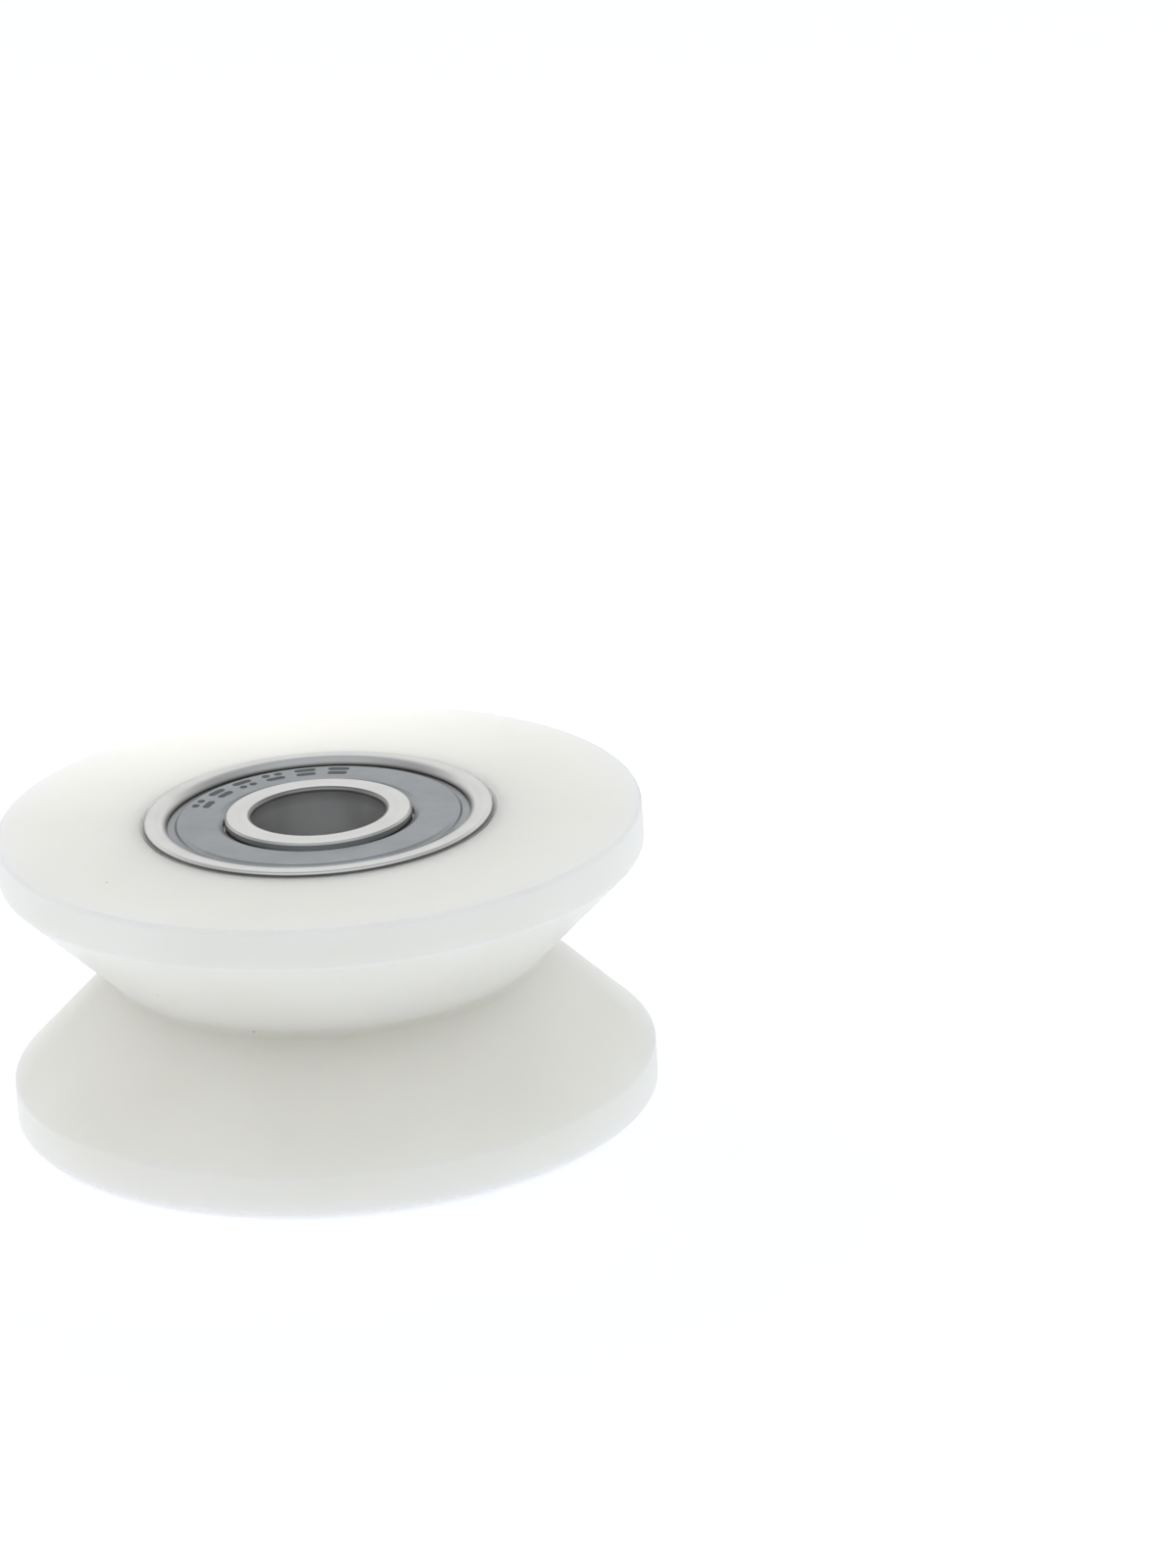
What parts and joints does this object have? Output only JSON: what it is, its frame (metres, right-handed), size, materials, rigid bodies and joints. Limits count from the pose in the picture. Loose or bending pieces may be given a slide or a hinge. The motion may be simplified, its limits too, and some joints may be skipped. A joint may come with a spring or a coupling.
{
  "type": "v groove wheel",
  "caption": "Plastic guide wheel with a 90 degree V groove in its rim, turning on shielded ball bearings pressed into both faces.",
  "frame": {"origin": "centre of the wheel, on the bearing axis", "axes": "+Z along the bearing axis, towards the upper face; the wheel lies on its lower face"},
  "size_m": [0.048, 0.048, 0.0228],
  "materials": {
    "wheel_plastic": "milky white, lightly turned, satin",
    "ring_steel": "ground and polished",
    "shield_steel": "pressed sheet, satin grey",
    "ball_steel": "mirror polished",
    "cage_steel": "pressed strip",
    "rivet_steel": "plain"
  },
  "bodies": {
    "wheel_body": {"wheel": "wheel_plastic", "upper_outer_ring": "ring_steel", "upper_front_shield": "shield_steel", "upper_back_shield": "shield_steel", "lower_outer_ring": "ring_steel", "lower_front_shield": "shield_steel", "lower_back_shield": "shield_steel"},
    "upper_inner_body": {"upper_inner_ring": "ring_steel"},
    "upper_cage_body": {"upper_front_cage": "cage_steel", "upper_back_cage": "cage_steel", "upper_cage_rivets": "rivet_steel"},
    "upper_ball_1_body": {"upper_ball_1": "ball_steel"},
    "upper_ball_2_body": {"upper_ball_2": "ball_steel"},
    "upper_ball_3_body": {"upper_ball_3": "ball_steel"},
    "upper_ball_4_body": {"upper_ball_4": "ball_steel"},
    "upper_ball_5_body": {"upper_ball_5": "ball_steel"},
    "upper_ball_6_body": {"upper_ball_6": "ball_steel"},
    "upper_ball_7_body": {"upper_ball_7": "ball_steel"},
    "lower_inner_body": {"lower_inner_ring": "ring_steel"},
    "lower_cage_body": {"lower_front_cage": "cage_steel", "lower_back_cage": "cage_steel", "lower_cage_rivets": "rivet_steel"},
    "lower_ball_1_body": {"lower_ball_1": "ball_steel"},
    "lower_ball_2_body": {"lower_ball_2": "ball_steel"},
    "lower_ball_3_body": {"lower_ball_3": "ball_steel"},
    "lower_ball_4_body": {"lower_ball_4": "ball_steel"},
    "lower_ball_5_body": {"lower_ball_5": "ball_steel"},
    "lower_ball_6_body": {"lower_ball_6": "ball_steel"},
    "lower_ball_7_body": {"lower_ball_7": "ball_steel"}
  },
  "joints": [
    {"name": "upper_ring_spin", "type": "hinge", "parent": "wheel_body", "child": "upper_inner_body", "pos_m": [0, 0, 0.0074], "axis": [0, 0, 1], "continuous": true},
    {"name": "upper_cage_spin", "type": "hinge", "parent": "wheel_body", "child": "upper_cage_body", "pos_m": [0, 0, 0.0074], "axis": [0, 0, 1], "continuous": true},
    {"name": "upper_ball_1_spin", "type": "hinge", "parent": "upper_cage_body", "child": "upper_ball_1_body", "pos_m": [0.009, 0, 0.0074], "axis": [0, 0, 1], "continuous": true},
    {"name": "upper_ball_2_spin", "type": "hinge", "parent": "upper_cage_body", "child": "upper_ball_2_body", "pos_m": [0.00561, 0.00704, 0.0074], "axis": [0, 0, 1], "continuous": true},
    {"name": "upper_ball_3_spin", "type": "hinge", "parent": "upper_cage_body", "child": "upper_ball_3_body", "pos_m": [-0.002, 0.00877, 0.0074], "axis": [0, 0, 1], "continuous": true},
    {"name": "upper_ball_4_spin", "type": "hinge", "parent": "upper_cage_body", "child": "upper_ball_4_body", "pos_m": [-0.00811, 0.0039, 0.0074], "axis": [0, 0, 1], "continuous": true},
    {"name": "upper_ball_5_spin", "type": "hinge", "parent": "upper_cage_body", "child": "upper_ball_5_body", "pos_m": [-0.00811, -0.0039, 0.0074], "axis": [0, 0, 1], "continuous": true},
    {"name": "upper_ball_6_spin", "type": "hinge", "parent": "upper_cage_body", "child": "upper_ball_6_body", "pos_m": [-0.002, -0.00877, 0.0074], "axis": [0, 0, 1], "continuous": true},
    {"name": "upper_ball_7_spin", "type": "hinge", "parent": "upper_cage_body", "child": "upper_ball_7_body", "pos_m": [0.00561, -0.00704, 0.0074], "axis": [0, 0, 1], "continuous": true},
    {"name": "lower_ring_spin", "type": "hinge", "parent": "wheel_body", "child": "lower_inner_body", "pos_m": [0, 0, -0.0074], "axis": [0, 0, 1], "continuous": true},
    {"name": "lower_cage_spin", "type": "hinge", "parent": "wheel_body", "child": "lower_cage_body", "pos_m": [0, 0, -0.0074], "axis": [0, 0, 1], "continuous": true},
    {"name": "lower_ball_1_spin", "type": "hinge", "parent": "lower_cage_body", "child": "lower_ball_1_body", "pos_m": [0.009, 0, -0.0074], "axis": [0, 0, 1], "continuous": true},
    {"name": "lower_ball_2_spin", "type": "hinge", "parent": "lower_cage_body", "child": "lower_ball_2_body", "pos_m": [0.00561, -0.00704, -0.0074], "axis": [0, 0, 1], "continuous": true},
    {"name": "lower_ball_3_spin", "type": "hinge", "parent": "lower_cage_body", "child": "lower_ball_3_body", "pos_m": [-0.002, -0.00877, -0.0074], "axis": [0, 0, 1], "continuous": true},
    {"name": "lower_ball_4_spin", "type": "hinge", "parent": "lower_cage_body", "child": "lower_ball_4_body", "pos_m": [-0.00811, -0.0039, -0.0074], "axis": [0, 0, 1], "continuous": true},
    {"name": "lower_ball_5_spin", "type": "hinge", "parent": "lower_cage_body", "child": "lower_ball_5_body", "pos_m": [-0.00811, 0.0039, -0.0074], "axis": [0, 0, 1], "continuous": true},
    {"name": "lower_ball_6_spin", "type": "hinge", "parent": "lower_cage_body", "child": "lower_ball_6_body", "pos_m": [-0.002, 0.00877, -0.0074], "axis": [0, 0, 1], "continuous": true},
    {"name": "lower_ball_7_spin", "type": "hinge", "parent": "lower_cage_body", "child": "lower_ball_7_body", "pos_m": [0.00561, 0.00704, -0.0074], "axis": [0, 0, 1], "continuous": true}
  ],
  "couplings": [
    {"joint": "upper_cage_spin", "follows": "upper_ring_spin", "ratio": 0.36771},
    {"joint": "upper_ball_1_spin", "follows": "upper_ring_spin", "ratio": -1.7575},
    {"joint": "upper_ball_2_spin", "follows": "upper_ring_spin", "ratio": -1.7575},
    {"joint": "upper_ball_3_spin", "follows": "upper_ring_spin", "ratio": -1.7575},
    {"joint": "upper_ball_4_spin", "follows": "upper_ring_spin", "ratio": -1.7575},
    {"joint": "upper_ball_5_spin", "follows": "upper_ring_spin", "ratio": -1.7575},
    {"joint": "upper_ball_6_spin", "follows": "upper_ring_spin", "ratio": -1.7575},
    {"joint": "upper_ball_7_spin", "follows": "upper_ring_spin", "ratio": -1.7575},
    {"joint": "lower_cage_spin", "follows": "lower_ring_spin", "ratio": 0.36771},
    {"joint": "lower_ball_1_spin", "follows": "lower_ring_spin", "ratio": -1.7575},
    {"joint": "lower_ball_2_spin", "follows": "lower_ring_spin", "ratio": -1.7575},
    {"joint": "lower_ball_3_spin", "follows": "lower_ring_spin", "ratio": -1.7575},
    {"joint": "lower_ball_4_spin", "follows": "lower_ring_spin", "ratio": -1.7575},
    {"joint": "lower_ball_5_spin", "follows": "lower_ring_spin", "ratio": -1.7575},
    {"joint": "lower_ball_6_spin", "follows": "lower_ring_spin", "ratio": -1.7575},
    {"joint": "lower_ball_7_spin", "follows": "lower_ring_spin", "ratio": -1.7575}
  ]
}
